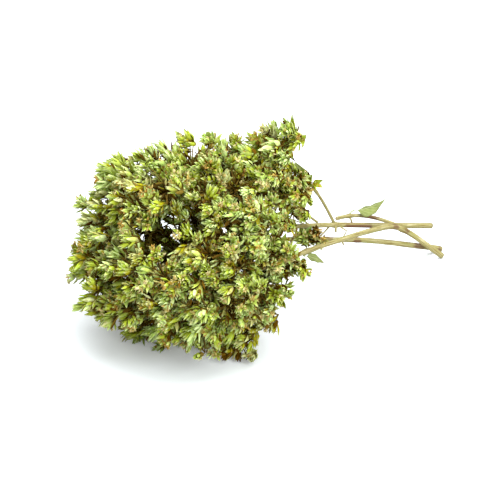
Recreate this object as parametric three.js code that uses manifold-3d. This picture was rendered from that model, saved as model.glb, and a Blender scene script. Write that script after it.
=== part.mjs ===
// A dried oregano bunch lying on a table: three cut stems, a broken shoot, their side branches,
// the flowering tops that those carry, and the few leaves that are left.
// Millimetres, +Z up, +X from the flower heads to the cut stem ends, the table at z = 0.
import * as THREE from "three";
import { mergeVertices } from "three/addons/utils/BufferGeometryUtils.js";
import Module from "manifold-3d";

const wasm = await Module();
wasm.setup();

// ---------------------------------------------------------------- driving dimensions

const GAP = 0.3; // clear space between neighbouring pieces
const STEM_RADIUS = 1.3; // at the cut end
const STEM_TIP_RADIUS = 0.8; // inside the flower head
const BRANCH_RADIUS = 0.75;
const TWIG_RADIUS = 0.6;
const STALK_RADIUS = 0.55; // the bare foot of a flowering top
const TOP_RADIUS = 11.5; // half width of a flowering top
const SMALL_TOP_RADIUS = 7;
const STEM_SIDES = 8;
const BRANCH_SIDES = 6;
const TOP_SIDES = 10;
const STEP_LENGTH = 5; // between two sections of a stem or branch
const LEAF_THICKNESS = 0.5;
const STALK_LEAN = 0.6; // how far a stalk starts behind its top, as a share of its reach

// Each stem runs from its cut end into the middle of the flower head that it carries.
const STEM_A = [
  [136, 12, 9], [109, 10, 19], [81, 7, 30], [44, 3, 44], [24, 6, 57], [8, 10, 64], [-8, 15, 68],
];
const STEM_B = [
  [132.5, -1, 1.2], [124.5, 1, 9], [116, 6.3, 17.5], [97, 0, 25.5], [72, -6, 30.7], [51, -9, 33],
  [30, -14, 34], [10, -16, 37], [-8, -12, 39], [-22, -4, 40],
];
const STEM_C = [
  [136, 4.5, 1.2], [126.5, 5, 5], [109.5, 4, 13], [92.5, 4.8, 19.7], [80, 3.6, 24.5], [66, 3, 29.5],
  [48, 8, 33], [32, 14, 32], [14, 18, 31], [-4, 20, 31],
];

// Shoots and branches start inside their stem, and are cut back to its skin.
const SHOOT_D = [
  [117, 10.6, 16], [116, 14.6, 16], [112.5, 16, 18], [105, 15, 22.5], [96.3, 13, 26.8], [88.7, 10.6, 30],
  [83.3, 8.8, 31.5],
];
const BRANCH_TO_LOBE = [
  [81, 7, 30], [79, 7.5, 35], [75, 6.8, 43], [69.3, 5.3, 52], [63, 5, 61.5], [55, 3.5, 71], [45, 1, 77],
];
const BRANCH_TO_SIDE = [[74, 6, 32], [69, 8, 37], [64, 7, 43]];

// The middles of the flowering tops, by the stem or branch that carries them.
const TOPS_ON_A = [
  [-28, 28, 62], [-18, 29, 73], [-6, 21, 80], [6, 10, 85], [22, 8, 84], [-27, 6, 75], [-15, -2, 83],
  [-3, -12, 84], [13, -13, 82], [2, -23, 75], [-10, 39, 58], [14, 36, 60], [31, 21, 61],
];
const TOPS_ON_LOBE = [[46, 1, 84], [32, -4, 81], [47, -10, 68], [28, -18, 73], [44, 10, 70]];
const TOPS_ON_B = [
  [-36, 20, 50], [-40, 16, 37], [-34, 9, 27], [-37, -8, 55], [-32, -23, 56], [-35, -15, 41], [-26, -22, 31],
  [-21, -33, 49], [-12, -24, 21], [7, -21, 9.5], [-7, -37, 39], [-12, -29, 65], [0, -37, 58], [11, -37, 40],
  [16, -32, 54], [27, -31, 45], [14, -29, 22], [10, -30, 70],
];
const TOPS_ON_C = [
  [22, 34, 41], [0, 41, 40], [-23, 35, 41], [29, 25, 22], [8, 36, 20], [-14, 32, 20], [-16, 12, 9],
  [0, -2, 9], [22, 4, 9],
];
const TOP_ON_SIDE_BRANCH = [54.5, 3.5, 47];
const TOP_BETWEEN_STEMS = [43.5, 0, 38];
const TOP_BELOW_STEMS = [60.7, -2.2, 35];
const FOOT_BELOW_STEMS = [72, 3, 27.7]; // where the stalk of that last top leaves stem C

// Leaves: petiole end, tip, the way the upper side faces, half width, and the fold along the middle.
const LEAVES = [
  {
    name: "leaf_on_shoot",
    foot: [96.7, 13, 29.2], tip: [107.7, 7.6, 33.6], faces: [0.07, 0.1, -1], half: 3.3, fold: 0.6,
  },
  {
    name: "leaf_under_knot",
    foot: [54, -9.6, 31], tip: [63, -10, 25], faces: [0.3, -0.6, 0.7], half: 1.8, fold: 0.3,
  },
  {
    name: "leaf_on_branch",
    foot: [63, 2.6, 61], tip: [55, 0, 73], faces: [-0.3, -0.9, 0.1], half: 1.8, fold: 0.6,
  },
];

// ---------------------------------------------------------------- geometry helpers

const vector = ([x, y, z]) => new THREE.Vector3(x, y, z);

/** A closed mesh as a solid that can be joined and cut. */
function solidOf(geometry) {
  const bare = geometry.clone();
  bare.deleteAttribute("normal");
  bare.deleteAttribute("uv");
  const merged = mergeVertices(bare, 1e-4);
  const corners = merged.index.array;
  const kept = [];
  for (let i = 0; i < corners.length; i += 3) {
    const [a, b, c] = corners.slice(i, i + 3);
    if (a !== b && b !== c && c !== a) kept.push(a, b, c);
  }
  return new wasm.Manifold(new wasm.Mesh({
    numProp: 3,
    vertProperties: new Float32Array(merged.attributes.position.array),
    triVerts: new Uint32Array(kept),
  }));
}

/** A solid as a mesh geometry. */
function geometryOf(solid) {
  const { vertProperties, triVerts } = solid.getMesh();
  const geometry = new THREE.BufferGeometry();
  geometry.setAttribute("position", new THREE.BufferAttribute(new Float32Array(vertProperties), 3));
  geometry.setIndex(new THREE.BufferAttribute(new Uint32Array(triVerts), 1));
  geometry.computeVertexNormals();
  return geometry;
}

const smoothCurve = (points) => new THREE.CatmullRomCurve3(points.map(vector), false, "centripetal");

/** Bends a shape that stands on the Y axis, from 0 to 1, along a curve. */
function bendAlong(geometry, curve, steps) {
  const frames = curve.computeFrenetFrames(steps, false);
  const position = geometry.attributes.position;
  for (let i = 0; i < position.count; i += 1) {
    const height = THREE.MathUtils.clamp(position.getY(i), 0, 1);
    const near = Math.round(height * steps);
    const point = curve.getPointAt(height);
    point.addScaledVector(frames.binormals[near], position.getX(i));
    point.addScaledVector(frames.normals[near], position.getZ(i));
    position.setXYZ(i, point.x, point.y, point.z);
  }
  return geometry;
}

/** A round stem that narrows from the start of its path to the end. */
function stemSolid(points, startRadius, endRadius, sides) {
  const curve = smoothCurve(points);
  const steps = Math.round(curve.getLength() / STEP_LENGTH);
  const upright = new THREE.CylinderGeometry(endRadius, startRadius, 1, sides, steps).translate(0, 0.5, 0);
  return solidOf(bendAlong(upright, curve, steps));
}

/** A flowering top: a thin stalk that opens into a cone and closes in a dome. */
function topSolid(from, centre, radius, grown = 0) {
  const axis = centre.clone().sub(from);
  const length = axis.length() + radius * 0.8 + grown;
  const wide = radius + grown;
  const crown = Math.min(wide * 1.9, length * 0.88);
  const stalk = STALK_RADIUS + grown;
  const outline = [
    [0, -grown], [stalk, -grown], [stalk, length - crown], [wide * 0.55, length - crown * 0.76],
    [wide * 0.93, length - crown * 0.48], [wide, length - crown * 0.3], [wide * 0.85, length - crown * 0.13],
    [wide * 0.5, length - crown * 0.03], [0, length],
  ].map(([across, height]) => new THREE.Vector2(across, height));
  const lathe = new THREE.LatheGeometry(outline, TOP_SIDES);
  const turn = new THREE.Quaternion().setFromUnitVectors(new THREE.Vector3(0, 1, 0), axis.normalize());
  return solidOf(lathe.applyQuaternion(turn).translate(from.x, from.y, from.z));
}

/** A pointed leaf on a short petiole, folded along its middle. */
function leafSolid({ foot, tip, faces, half, fold }) {
  const start = vector(foot);
  const along = vector(tip).sub(start);
  const length = along.length();
  along.normalize();
  const across = along.clone().cross(vector(faces)).normalize();
  const up = across.clone().cross(along);
  const slab = new THREE.BoxGeometry(1, LEAF_THICKNESS, 1, 10, 1, 4);
  const position = slab.attributes.position;
  for (let i = 0; i < position.count; i += 1) {
    const share = position.getX(i) + 0.5;
    const blade = Math.max(0, (share - 0.2) / 0.8);
    const width = LEAF_THICKNESS / 2 + half * Math.sin(Math.PI * blade ** 0.7);
    const side = position.getZ(i) * 2 * width;
    const rise = position.getY(i) + fold * Math.abs(side) + half * 0.4 * Math.sin(Math.PI * share);
    const point = start.clone().addScaledVector(along, share * length);
    point.addScaledVector(across, side).addScaledVector(up, rise);
    position.setXYZ(i, point.x, point.y, point.z);
  }
  return solidOf(slab);
}

/** The largest body of a solid, for where a cut leaves scraps. */
function largestBody(solid) {
  return solid.decompose().reduce((best, body) => (body.volume() > best.volume() ? body : best));
}

const boxesMeet = (a, b) => [0, 1, 2].every((k) => a.min[k] <= b.max[k] && b.min[k] <= a.max[k]);

/** Cuts away what others already fill. */
function giveWay(solid, others) {
  const box = solid.boundingBox();
  const near = others.filter((other) => boxesMeet(box, other.boundingBox()));
  return largestBody(near.reduce((left, other) => left.subtract(other), solid));
}

/** Where on a stem the stalk of a top begins: nearer the cut end, as side shoots lean forwards. */
function budPoint(path, centre) {
  const curve = smoothCurve(path);
  const samples = curve.getSpacedPoints(200);
  const distances = samples.map((point) => point.distanceTo(centre));
  const nearest = distances.indexOf(Math.min(...distances));
  const back = (distances[nearest] * STALK_LEAN * 200) / curve.getLength();
  return samples[Math.max(0, Math.round(nearest - back))];
}

// ---------------------------------------------------------------- the bunch

const STRAW = { color: 0xb9b277, roughness: 0.75 };
const FLOWER_GREEN = { color: 0x8fa63e, roughness: 0.8 };
const LEAF_GREEN = { color: 0x93ad6c, roughness: 0.8 };

const bunch = new THREE.Group();
const table = solidOf(new THREE.BoxGeometry(600, 600, 100).translate(0, 0, -50));
const filled = [table]; // what later pieces give way to: each piece so far, grown by the gap

function addPiece(name, solid, look, grown) {
  const material = new THREE.MeshStandardMaterial({ ...look, metalness: 0 });
  const mesh = new THREE.Mesh(geometryOf(giveWay(solid, filled)), material);
  mesh.name = name;
  bunch.add(mesh);
  filled.push(grown);
}

function addStem(name, path, startRadius, endRadius, sides) {
  const grown = stemSolid(path, startRadius + GAP, endRadius + GAP, sides);
  addPiece(name, stemSolid(path, startRadius, endRadius, sides), STRAW, grown);
}

function addTop(name, from, centre, radius) {
  addPiece(name, topSolid(from, centre, radius), FLOWER_GREEN, topSolid(from, centre, radius, GAP));
}

function addTops(letter, path, places) {
  places.forEach((place, k) => {
    const centre = vector(place);
    addTop(`top_${letter}${k + 1}`, budPoint(path, centre), centre, TOP_RADIUS);
  });
}

addStem("stem_a", STEM_A, STEM_RADIUS, STEM_TIP_RADIUS, STEM_SIDES);
addStem("stem_b", STEM_B, STEM_RADIUS, STEM_TIP_RADIUS, STEM_SIDES);
addStem("stem_c", STEM_C, STEM_RADIUS, STEM_TIP_RADIUS, STEM_SIDES);
addStem("broken_shoot", SHOOT_D, BRANCH_RADIUS * 1.2, BRANCH_RADIUS * 1.2, STEM_SIDES);
addStem("branch_to_lobe", BRANCH_TO_LOBE, BRANCH_RADIUS, BRANCH_RADIUS, BRANCH_SIDES);
addStem("branch_to_side", BRANCH_TO_SIDE, TWIG_RADIUS, TWIG_RADIUS, BRANCH_SIDES);

for (const leaf of LEAVES) {
  const solid = leafSolid(leaf);
  addPiece(leaf.name, solid, LEAF_GREEN, solid);
}

addTops("a", STEM_A, TOPS_ON_A);
addTops("lobe", BRANCH_TO_LOBE, TOPS_ON_LOBE);
addTops("b", STEM_B, TOPS_ON_B);
addTops("c", STEM_C, TOPS_ON_C);
addTop("top_on_side_branch", vector(BRANCH_TO_SIDE.at(-1)), vector(TOP_ON_SIDE_BRANCH), SMALL_TOP_RADIUS);
const between = vector(TOP_BETWEEN_STEMS);
addTop("top_between_stems", budPoint(STEM_C, between), between, SMALL_TOP_RADIUS);
addTop("top_below_stems", vector(FOOT_BELOW_STEMS), vector(TOP_BELOW_STEMS), SMALL_TOP_RADIUS);

// The origin is under the middle of the bunch.
const extent = new THREE.Box3().setFromObject(bunch);
const middle = extent.getCenter(new THREE.Vector3());
bunch.position.set(-middle.x, -middle.y, -extent.min.z);

export default bunch;
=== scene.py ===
"""A dried oregano bunch lying on a table.

The cut stems, leaves and flowering tops stand for the plain CAD solids of the same places. Each
flowering top is a stalk that branches into spikelets, and each spikelet is made of crossed pairs
of pointed bracts, with what is left of the flowers between them. Metres, +Z up.
"""

import math
import random
from collections import namedtuple

import bmesh
import bpy
import numpy as np
from bpy.props import FloatProperty, FloatVectorProperty, IntProperty, PointerProperty
from mathutils import Matrix, Quaternion, Vector, noise
from mathutils.bvhtree import BVHTree


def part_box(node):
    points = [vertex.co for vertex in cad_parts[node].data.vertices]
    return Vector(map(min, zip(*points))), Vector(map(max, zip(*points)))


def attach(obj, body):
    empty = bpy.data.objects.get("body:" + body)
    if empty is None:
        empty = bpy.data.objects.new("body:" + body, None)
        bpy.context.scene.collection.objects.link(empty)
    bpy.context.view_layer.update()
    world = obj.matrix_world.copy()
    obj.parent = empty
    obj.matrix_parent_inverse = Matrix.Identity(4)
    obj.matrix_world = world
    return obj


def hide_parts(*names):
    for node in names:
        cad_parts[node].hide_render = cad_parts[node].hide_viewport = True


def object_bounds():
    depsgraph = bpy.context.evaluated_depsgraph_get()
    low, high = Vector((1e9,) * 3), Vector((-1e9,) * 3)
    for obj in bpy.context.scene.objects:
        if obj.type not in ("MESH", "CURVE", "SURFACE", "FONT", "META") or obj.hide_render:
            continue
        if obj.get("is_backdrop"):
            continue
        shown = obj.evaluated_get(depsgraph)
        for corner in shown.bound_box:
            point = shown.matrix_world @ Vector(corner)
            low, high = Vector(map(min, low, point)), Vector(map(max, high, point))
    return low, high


bl_info = {
    "name": "Dried oregano bunch",
    "version": (1, 0, 0),
    "blender": (4, 5, 0),
    "location": "3D View > Sidebar > Oregano",
    "description": "Builds a bunch of dried oregano around its CAD frame",
    "category": "Object",
}

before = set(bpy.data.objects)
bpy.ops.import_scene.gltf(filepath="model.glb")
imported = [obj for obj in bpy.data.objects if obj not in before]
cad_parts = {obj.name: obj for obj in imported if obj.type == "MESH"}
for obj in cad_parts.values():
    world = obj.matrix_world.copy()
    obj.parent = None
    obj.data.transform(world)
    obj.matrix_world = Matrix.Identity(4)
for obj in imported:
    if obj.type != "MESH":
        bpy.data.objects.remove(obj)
CAD_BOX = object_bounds()

MM = 0.001
MERGE = 1e-6  # vertices of a CAD solid closer than this are one
TABLE_GAP = 0.05 * MM  # the lowest that a bract may lie
BRACT_ROOM = 1.2 * MM  # the lowest that a stalk may run, so that its bracts clear the table
GOLDEN_ANGLE = math.radians(137.508)
TURN = math.tau

# The tint map: a square of cells, one row for each kind of tissue and one column for each shade.
TINT_MAP = "OFBake"
CELLS = 8
CELL_MARGIN = 0.07
FRESH, MID, GREY, OLIVE, STRAW, BROWN, FLOWER, STALK = range(CELLS)

# Which stem carries each family of flowering tops.
CARRIERS = {"a": "stem_a", "lobe": "branch_to_lobe", "b": "stem_b", "c": "stem_c"}
LONE_TOPS = {
    "top_on_side_branch": "branch_to_side",
    "top_between_stems": "stem_c",
    "top_below_stems": "stem_c",
}

# What a stem bears besides its branches, in mm along it from its cut end: knots as (place, swelling),
# purple-brown patches as (from, to), and dead twigs as (place, radius, points from there).
Marks = namedtuple("Marks", "knots patches twigs")
STEMS = {
    "stem_a": Marks(
        knots=((59, 0.32), (78, 0.15)),
        patches=((36, 54),),
        twigs=(
            (59, 0.62, ((-0.3, -0.5, 0.6), (-0.9, -1.6, -0.9), (-1.2, -2.0, -2.2))),
            (61, 0.38, ((-2.6, 0.1, -2.2), (-5.8, 0.8, -4.9))),
            (57, 0.34, ((1.2, -1.9, -1.2), (2.6, -2.9, -2.4), (-0.3, -3.3, -5.6))),
            (74, 0.34, ((-2.4, 3.8, 2.2), (-5.8, 7.2, 4.6))),
            (76, 0.30, ((-2.6, 3.2, 1.2), (-6.8, 6.8, 3.2))),
            (111, 0.40, ((0.5, -2.1, -2.0), (1.4, -4.3, -4.8))),
        ),
    ),
    "stem_b": Marks(
        knots=((24.3, 0.30), (68, 0.12), (89, 0.35)),
        patches=((21, 23.5), (27, 32)),
        twigs=(
            (24.3, 0.45, ((0.7, 0.5, 0.9), (1.0, 0.5, 1.8))),
            (68, 0.40, ((0.1, -0.9, -1.1), (0.3, -1.2, -2.2))),
        ),
    ),
    "stem_c": Marks(knots=((49, 0.12), (67, 0.35)), patches=((0, 3), (9, 17), (47, 52), (63, 72)), twigs=()),
    "broken_shoot": Marks(
        knots=((29, 0.30),),
        patches=((8, 20), (39, 44)),
        twigs=((29, 0.42, ((0.2, -1.2, -1.2), (0.3, -1.6, -2.5))),),
    ),
    "branch_to_lobe": Marks(knots=((22, 0.3),), patches=((27, 38),), twigs=()),
    "branch_to_side": Marks(knots=(), patches=(), twigs=()),
}
# How far some tops reach, as a share of what the others do.
REACHES = {
    "top_a2": 1.05, "top_a5": 0.86, "top_b2": 1.1, "top_b3": 0.92, "top_b7": 0.92, "top_b9": 0.84,
    "top_b10": 0.82, "top_b14": 0.9, "top_b16": 0.82, "top_b17": 0.6, "top_c7": 0.9, "top_c8": 0.92,
    "top_lobe1": 0.85, "top_lobe3": 0.78, "top_below_stems": 0.75, "top_on_side_branch": 0.84,
}
# How withered some tops are all over, from 0 to 1.
DRYNESS = {
    "top_b10": 0.45, "top_b17": 0.1,
    "top_on_side_branch": 0.2, "top_between_stems": 0.6, "top_below_stems": 0.6,
}

# The tops round each end of the hollow in the front of the flower mass.
HOLLOW_ENDS = (("top_a6", "top_b4", "top_b5"), ("top_a7", "top_a8", "top_a10", "top_b12"))

# Which stem bears each leaf, and how far along it from its cut end, in mm.
LEAVES = {
    "leaf_on_shoot": ("broken_shoot", 29),
    "leaf_under_knot": ("stem_b", 68),
    "leaf_on_branch": ("branch_to_lobe", 30),
}

# A shape that is copied many times: its length, how many corners each of its bracts and petals has, and
# how many of these are petals, which come last.
Stamp = namedtuple("Stamp", "mesh length loops petals")

# The whole flower mass: its middle, its half sizes, the place that its stems spread from, every CAD skin,
# and the two ends of its hollow.
Mass = namedtuple("Mass", "centre half neck skin hollow")


# ---------------------------------------------------------------- settings


def setting(name, description, default, kind=FloatProperty, **limits):
    return kind(name=name, description=description, default=default, **limits)


def length_setting(name, description, default):
    return setting(name, description, default, min=0.0, unit="LENGTH", precision=5)


def share_setting(name, description, default, highest=1.0):
    return setting(name, description, default, min=0.0, max=highest, subtype="FACTOR")


def count_setting(name, description, default, least=0, most=200):
    return setting(name, description, default, IntProperty, min=least, max=most)


def colour_setting(name, description, default):
    return setting(name, description, default, FloatVectorProperty, size=3, min=0.0, max=1.0, subtype="COLOR")


class TopSettings(bpy.types.PropertyGroup):
    """Sizes of the flowering tops."""

    groups: count_setting("Groups", "Groups of spikelets on a full flowering top", 18, 2, 24)
    dead_twigs: count_setting("Dead twigs", "Withered twigs deeper in a full top", 9, most=40)
    gap_rays: count_setting("Gap rays", "Ways in which a top looks for gaps to fill", 32)
    bract_length: length_setting("Bract length", "From the foot of a bract to its point", 3.9 * MM)
    bract_width: length_setting("Bract width", "Across the widest part of a bract", 1.62 * MM)
    bract_thickness: length_setting("Bract thickness", "At the midrib", 0.22 * MM)
    crumple: length_setting("Crumple", "How far drying has bent the bracts", 0.3 * MM)
    petal_length: length_setting("Petal length", "Of a dry, curled petal", 1.75 * MM)
    stalk_radius: length_setting("Stalk radius", "At the foot of a flowering top", 0.5 * MM)
    spread: share_setting("Spread", "How far a top reaches, as a share of its CAD solid", 1.1, 1.5)
    wander: share_setting("Wander", "How far a group of spikelets strays from its way", 0.3)
    lean: share_setting("Lean", "How far spikelets turn from straight outwards to the way the top grows", 0.8)
    hollow: length_setting("Hollow", "From the middle of the hollow to its sides", 6.8 * MM)


class StemSettings(bpy.types.PropertyGroup):
    """Sizes of the cut stems."""

    girth: share_setting("Girth", "Thickness of a stem, as a share of its CAD solid's", 0.94)
    ring_spacing: length_setting("Ring spacing", "Between two sections of a stem", 1.6 * MM)
    squareness: share_setting("Squareness", "From a round stem to a four-cornered one", 0.55)


class LeafSettings(bpy.types.PropertyGroup):
    """Sizes of the dry leaves."""

    size: share_setting("Size", "Of a leaf, as a share of its CAD solid's", 1.15, 1.5)
    narrowing: share_setting("Narrowing", "Width of a leaf, as a share of its CAD solid's", 0.86)
    thickness: length_setting("Thickness", "Of a dry leaf", 0.3 * MM)
    wave: length_setting("Wave", "How far the margin curls up and down", 0.3 * MM)
    petiole_radius: length_setting("Petiole radius", "Of the stalk that joins a leaf to its stem", 0.3 * MM)


class ColourSettings(bpy.types.PropertyGroup):
    """Colours of the plant, as light reflected."""

    fresh: colour_setting("Fresh bract", "The brightest yellow-green bracts", (0.57, 0.72, 0.14))
    mid: colour_setting("Green bract", "Most bracts", (0.49, 0.61, 0.045))
    grey: colour_setting("Grey-green bract", "Paler, downy bracts", (0.55, 0.67, 0.10))
    olive: colour_setting("Olive bract", "Older bracts", (0.40, 0.37, 0.012))
    straw: colour_setting("Straw bract", "Bleached bracts", (0.60, 0.60, 0.22))
    # The margin and point colours are partly the bracts' own pale margins and tips, and partly painted
    # highlight.
    margin: colour_setting("Bract margin", "The pale margin and midrib of a bract", (0.79, 0.87, 0.53))
    point: colour_setting("Bract point", "The paler point of a bract", (0.77, 0.85, 0.45))
    # The foot colour is partly real withering and partly painted shade where the bracts overlap.
    foot: colour_setting("Bract foot", "The withered foot of a bract", (0.21, 0.105, 0.002))
    brown: colour_setting("Withered", "Most withered leaves and bracts", (0.14, 0.07, 0.003))
    dark_brown: colour_setting("Darkest withered", "The darkest withered leaves", (0.065, 0.027, 0.002))
    tan: colour_setting("Tan", "The palest withered leaves", (0.27, 0.18, 0.03))
    cream: colour_setting("Cream petal", "The palest dry petals", (0.76, 0.68, 0.36))
    ochre: colour_setting("Ochre petal", "Most dry petals", (0.5, 0.34, 0.095))
    rust: colour_setting("Rust petal", "The darkest dry petals", (0.3, 0.145, 0.02))
    blotch: colour_setting("Blotch", "The dry blotches of bracts and petals", (0.2, 0.11, 0.015))
    stalk: colour_setting("Stalk", "Stalks inside a flowering top", (0.17, 0.108, 0.022))
    stem: colour_setting("Stem", "The straw of the cut stems", (0.35, 0.31, 0.12))
    stem_pale: colour_setting("Pale streak", "The palest streaks along a stem", (0.50, 0.46, 0.26))
    stem_shade: colour_setting("Dark streak", "The darker streaks along a stem", (0.2, 0.15, 0.045))
    stem_green: colour_setting("Green streak", "Where a stem is still greenish", (0.29, 0.31, 0.09))
    stem_patch: colour_setting("Stem patch", "The purple-brown patches of a stem", (0.16, 0.085, 0.045))
    stem_knot: colour_setting("Stem knot", "The darker ring of a knot", (0.22, 0.17, 0.06))
    pith: colour_setting("Pith", "The cut end of a stem", (0.42, 0.37, 0.2))
    leaf: colour_setting("Leaf", "The blade of a dry leaf", (0.25, 0.30, 0.09))
    leaf_vein: colour_setting("Leaf vein", "The midrib and side veins", (0.43, 0.47, 0.24))


class StageSettings(bpy.types.PropertyGroup):
    """The view, the lamps, the sky and the table."""

    azimuth: setting("Azimuth", "Of the view", math.radians(-35), subtype="ANGLE")
    elevation: setting("Elevation", "Of the view", math.radians(30), subtype="ANGLE")
    frame_width: length_setting("Frame width", "What the view takes in at the bunch", 206.4 * MM)
    focal_length: setting("Focal length", "Of the lens, in millimetres", 1200.0, min=1.0)
    key_power: setting("Key power", "Of the large lamp above", 21.0, min=0.0, unit="POWER")
    key_size: length_setting("Key size", "Of the lamp above, and its distance from the bunch", 1.1)
    fill_power: setting("Fill power", "Of the lamp beside the camera", 7.8, min=0.0, unit="POWER")
    fill_size: length_setting("Fill size", "Of the lamp beside the camera", 0.5)
    sky: share_setting("Sky", "How much light comes from all around", 0.38)
    floor: share_setting("Floor", "How much light the table throws back up", 0.55)
    floor_seen: colour_setting("Floor as seen", "Of the table, before its glow", (0.91, 0.965, 1.0))
    floor_glow: share_setting("Floor glow", "How pale its darkest shadow looks", 0.2)


# ---------------------------------------------------------------- mesh helpers


def as_mesh(bm, name):
    """Turns a bmesh into a mesh, and frees it."""
    mesh = bpy.data.meshes.new(name)
    bm.to_mesh(mesh)
    bm.free()
    return mesh


def placed(name, data):
    """A new object in the scene."""
    thing = bpy.data.objects.new(name, data)
    bpy.context.scene.collection.objects.link(thing)
    return thing


def new_piece(name, bm, material, slot, *nodes):
    """Turns a bmesh into a piece that stands for the given CAD nodes."""
    mesh = as_mesh(bm, name)
    mesh.materials.append(material)
    piece = placed(name, mesh)
    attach(piece, "root")
    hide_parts(*nodes)
    return piece


def merged(node):
    """A CAD node's solid as a bmesh whose triangles share their corners."""
    bm = bmesh.new()
    bm.from_mesh(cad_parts[node].data)
    bmesh.ops.remove_doubles(bm, verts=bm.verts, dist=MERGE)
    return bm


def middle_of(bm):
    """The centroid and the volume of a closed bmesh of triangles."""
    total, moment = 0.0, Vector()
    for face in bm.faces:
        a, b, c = (vert.co for vert in face.verts)
        volume = a.dot(b.cross(c)) / 6
        total += volume
        moment += volume * (a + b + c) / 4
    return moment / total, abs(total)


def add_copy(bm, mesh, matrix, shift=None):
    """Adds a moved copy of a mesh to a bmesh. shift moves each corner on the tint map."""
    copy = mesh.copy()
    copy.transform(matrix)
    if shift is not None:
        corners = np.empty(len(copy.loops) * 2, np.float32)
        layer = copy.uv_layers[TINT_MAP].data
        layer.foreach_get("uv", corners)
        layer.foreach_set("uv", corners + shift.ravel())
    bm.from_mesh(copy)
    bpy.data.meshes.remove(copy)


def above_table(place):
    """The place itself, or the nearest one that leaves room for a bract above the table."""
    return Vector((place.x, place.y, max(place.z, BRACT_ROOM)))


def keep_above_table(bm):
    """Flattens what would sink into the table."""
    for vert in bm.verts:
        vert.co.z = max(vert.co.z, TABLE_GAP)


def stand(at, along, roll, size):
    """The matrix that stands a shape on a point, with its +Z along a direction."""
    turn = along.to_track_quat("Z", "Y") @ Quaternion((0, 0, 1), roll)
    return Matrix.LocRotScale(at, turn, Vector((size, size, size)))


def in_cell(across, along, column=0, row=0):
    """A place on the tint map from a place in one of its cells."""
    inside = 1 - 2 * CELL_MARGIN
    return (
        (column + CELL_MARGIN + inside * across) / CELLS,
        (row + CELL_MARGIN + inside * along) / CELLS,
    )


def tube(bm, points, radii, sides, squareness=0.0):
    """Draws a closed tube along points, and returns its rings of vertices from the first to the last."""
    corner = 2 + 2.5 * squareness
    fitted = 1 - 0.12 * squareness
    circle = bmesh.ops.create_circle(bm, cap_ends=True, segments=sides, radius=1.0)
    face = circle["verts"][0].link_faces[0]
    heading = (points[1] - points[0]).normalized()
    turn = heading.to_track_quat("Z", "Y")
    unit = []
    for vert in face.verts:
        reach = (abs(vert.co.x) ** corner + abs(vert.co.y) ** corner) ** (1 / corner)
        unit.append(Vector((vert.co.x, vert.co.y, 0)) * fitted / reach)
    if face.normal.z > 0:
        bmesh.ops.reverse_faces(bm, faces=[face])
        unit.reverse()
        unit = unit[-1:] + unit[:-1]
    rings = []
    for k, (point, radius) in enumerate(zip(points, radii, strict=True)):
        if k == 1:
            made = bmesh.ops.extrude_face_region(bm, geom=[face], use_keep_orig=True)["geom"]
            face = next(item for item in made if isinstance(item, bmesh.types.BMFace))
        elif k > 1:
            face = bmesh.ops.extrude_discrete_faces(bm, faces=[face])["faces"][0]
        ahead = points[min(k + 1, len(points) - 1)] - points[max(k - 1, 0)]
        turn = heading.rotation_difference(ahead.normalized()) @ turn
        heading = ahead.normalized()
        ring = list(face.verts)
        for vert, place in zip(ring, unit, strict=True):
            vert.co = point + turn @ (place * radius)
        rings.append(ring)
    return rings


def wrap_tube(rings, layer, place):
    """Gives each corner of a tube's faces its place on a UV map: place(turn, ring) for a turn from 0 to 1."""
    where = {vert: (i, k) for k, ring in enumerate(rings) for i, vert in enumerate(ring)}
    sides = len(rings[0])
    faces = {face for ring in rings for vert in ring for face in vert.link_faces}
    for face in faces:
        corners = [where[loop.vert] for loop in face.loops]
        crosses = {0, sides - 1} <= {i for i, _ in corners} and len(corners) == 4
        for loop, (i, k) in zip(face.loops, corners, strict=True):
            turn = (sides if crosses and i == 0 else i) / sides
            loop[layer].uv = place(turn, k)


def smooth_path(points, spacing):
    """Points at an even spacing on a smooth curve through the given ones."""
    ends = [2 * points[0] - points[1], *points, 2 * points[-1] - points[-2]]
    path = []
    for a, b, c, d in zip(ends, ends[1:], ends[2:], ends[3:], strict=False):
        steps = max(1, round((c - b).length / spacing))
        for step in range(steps):
            t = step / steps
            bent = (2 * a - 5 * b + 4 * c - d) * t * t + (3 * b - a - 3 * c + d) * t**3
            path.append(0.5 * (2 * b + (c - a) * t + bent))
    return [*path, points[-1].copy()]


# ---------------------------------------------------------------- where the CAD stems run


def centreline(node, spacing=6 * MM, end_room=3 * MM):
    """Points down the middle of a CAD stem, from its cut end inwards, and its radius at each."""
    solid = merged(node)
    places = [vert.co.copy() for vert in solid.verts]
    start = max(places, key=lambda co: co.x)
    end = max(places, key=lambda co: (co - start).length)
    ends = [average([co for co in places if (co - tip).length < end_room]) for tip in (start, end)]
    chord = (ends[1] - ends[0]).normalized()
    length = (ends[1] - ends[0]).length
    count = max(1, round((length - 2 * end_room) / spacing))
    points, radii = [ends[0]], []
    for k in range(count + 1):
        slice_at = ends[0] + chord * (end_room + (length - 2 * end_room) * k / count)
        piece = solid.copy()
        cut = bmesh.ops.bisect_plane(
            piece, geom=[*piece.verts, *piece.edges, *piece.faces], plane_co=slice_at, plane_no=chord
        )["geom_cut"]
        rim = [item.co.copy() for item in cut if isinstance(item, bmesh.types.BMVert)]
        piece.free()
        centre, radius = middle_of_rim(rim, slice_at, chord)
        radii.append(radius)
        points.append(centre)
    solid.free()
    points.append(ends[1])
    eased = [(a + 2 * b + c) / 4 for a, b, c in zip(points, points[1:], points[2:], strict=False)]
    return [points[0], *eased, points[-1]], [radii[0], *radii, radii[-1]]


def average(places):
    """The middle of a list of places."""
    return sum(places, Vector()) / len(places)


def middle_of_rim(rim, origin, normal):
    """The middle and the radius of the outline of a cut, from its widths in two directions."""
    first = normal.orthogonal().normalized()
    middle, radius = origin.copy(), 0.0
    for direction in (first, normal.cross(first)):
        spread = [(co - origin).dot(direction) for co in rim]
        middle += direction * (max(spread) + min(spread)) / 2
        radius += (max(spread) - min(spread)) / 4
    return middle, radius


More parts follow.
